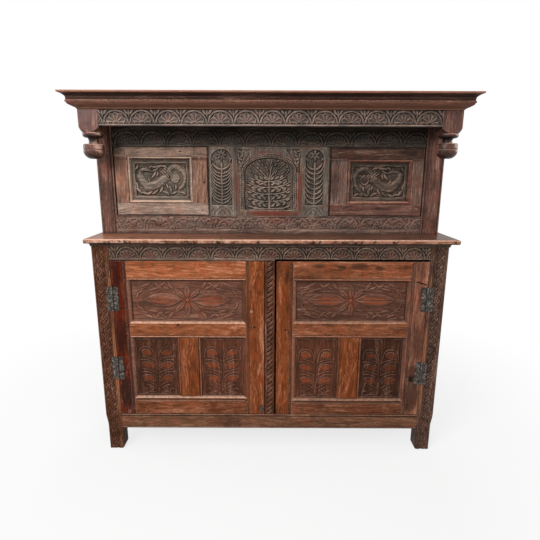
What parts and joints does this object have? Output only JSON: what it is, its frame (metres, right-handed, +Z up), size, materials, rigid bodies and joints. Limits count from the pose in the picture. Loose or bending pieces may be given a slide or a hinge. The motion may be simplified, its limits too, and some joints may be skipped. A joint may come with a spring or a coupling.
{
  "type": "court cupboard",
  "caption": "Joined oak court cupboard: carved panelled doors below, a recessed carved upper stage over a shelf, and an overhanging canopy with turned pendants and a moulded cornice.",
  "frame": {"origin": "on the floor, in the middle of the overall box", "axes": "+X along the front to the right, +Y to the back, +Z up; the front faces -Y"},
  "size_m": [1.72, 0.59, 1.668],
  "materials": {
    "lower_carcase_oak": "dark waxed oak with blackened carving and worn edges",
    "upper_carcase_oak": "waxed oak, greyed in the hollows of its carving",
    "lower_door_oak": "warm red-brown waxed oak",
    "door_panel_oak": "dark oak ground with redder raised leaves",
    "upper_door_oak": "greyed red-brown waxed oak",
    "upper_panel_oak": "dark waxed carved oak",
    "frieze_oak": "greyed carved oak with light worn edges",
    "pendant_oak": "polished dark red-brown turned oak",
    "cornice_oak": "dark red-brown waxed oak with rubbed arrises",
    "shelf_oak": "dark waxed oak, polished on top, with a worn orange edge",
    "plain_oak": "dry unpolished oak",
    "wrought_iron": "dark grey hand-forged iron with bright specks"
  },
  "bodies": {
    "carcase": {"front_post_left": "lower_carcase_oak", "front_post_right": "lower_carcase_oak", "rear_post_left": "lower_carcase_oak", "rear_post_right": "lower_carcase_oak", "lunette_rail": "lower_carcase_oak", "lower_bottom_rail": "lower_carcase_oak", "lower_muntin": "lower_carcase_oak", "lower_end_frame_left": "lower_carcase_oak", "lower_end_frame_right": "lower_carcase_oak", "lower_end_panels_left": "lower_carcase_oak", "lower_end_panels_right": "lower_carcase_oak", "rear_rails": "plain_oak", "back_boards": "plain_oak", "floor_boards": "plain_oak", "shelf_boards": "shelf_oak", "bed_mould": "shelf_oak", "upper_stile_left": "upper_carcase_oak", "upper_stile_right": "upper_carcase_oak", "upper_head_rail": "upper_carcase_oak", "upper_sill_rail": "upper_carcase_oak", "upper_muntin_left": "upper_carcase_oak", "upper_muntin_right": "upper_carcase_oak", "arcade_panel": "upper_carcase_oak", "upper_end_rails_left": "upper_carcase_oak", "upper_end_rails_right": "upper_carcase_oak", "upper_end_panel_left": "upper_carcase_oak", "upper_end_panel_right": "upper_carcase_oak", "frieze_board": "frieze_oak", "canopy_bearer_left": "frieze_oak", "canopy_bearer_right": "frieze_oak", "corner_pendant_left": "pendant_oak", "corner_pendant_right": "pendant_oak", "soffit_board": "plain_oak", "top_boards": "plain_oak", "cornice_front": "cornice_oak", "cornice_left": "cornice_oak", "cornice_right": "cornice_oak", "hinge_post_leaves": "wrought_iron", "hinge_pins": "wrought_iron", "upper_door_pivots": "wrought_iron"},
    "lower_left_door": {"lower_left_door_stiles": "lower_door_oak", "lower_left_door_rails": "lower_door_oak", "lower_left_door_muntin": "lower_door_oak", "lower_left_door_wide_panel": "door_panel_oak", "lower_left_door_small_panels": "door_panel_oak", "lower_left_door_hinge_leaves": "wrought_iron", "turn_button_nail": "wrought_iron"},
    "lower_right_door": {"lower_right_door_stiles": "lower_door_oak", "lower_right_door_rails": "lower_door_oak", "lower_right_door_muntin": "lower_door_oak", "lower_right_door_wide_panel": "door_panel_oak", "lower_right_door_small_panels": "door_panel_oak", "lower_right_door_hinge_leaves": "wrought_iron"},
    "upper_left_door": {"upper_left_door_rails": "upper_door_oak", "upper_left_door_stiles": "upper_door_oak", "upper_left_door_panel": "upper_panel_oak"},
    "upper_right_door": {"upper_right_door_rails": "upper_door_oak", "upper_right_door_stiles": "upper_door_oak", "upper_right_door_panel": "upper_panel_oak"},
    "turn_button": {"turn_button": "wrought_iron"}
  },
  "joints": [
    {"name": "lower_left_hinge", "type": "hinge", "parent": "carcase", "child": "lower_left_door", "pos_m": [-0.721, -0.24, 0.6], "axis": [0, 0, -1], "range_deg": [0, 165]},
    {"name": "lower_right_hinge", "type": "hinge", "parent": "carcase", "child": "lower_right_door", "pos_m": [0.721, -0.24, 0.6], "axis": [0, 0, 1], "range_deg": [0, 165]},
    {"name": "upper_left_pivot", "type": "hinge", "parent": "carcase", "child": "upper_left_door", "pos_m": [-0.711, -0.077, 1.3], "axis": [0, 0, -1], "range_deg": [0, 78]},
    {"name": "upper_right_pivot", "type": "hinge", "parent": "carcase", "child": "upper_right_door", "pos_m": [0.699, -0.077, 1.3], "axis": [0, 0, 1], "range_deg": [0, 86]},
    {"name": "button_turn", "type": "hinge", "parent": "lower_left_door", "child": "turn_button", "pos_m": [-0.038, -0.2378, 0.232], "axis": [0, -1, 0], "range_deg": [0, 90]}
  ]
}
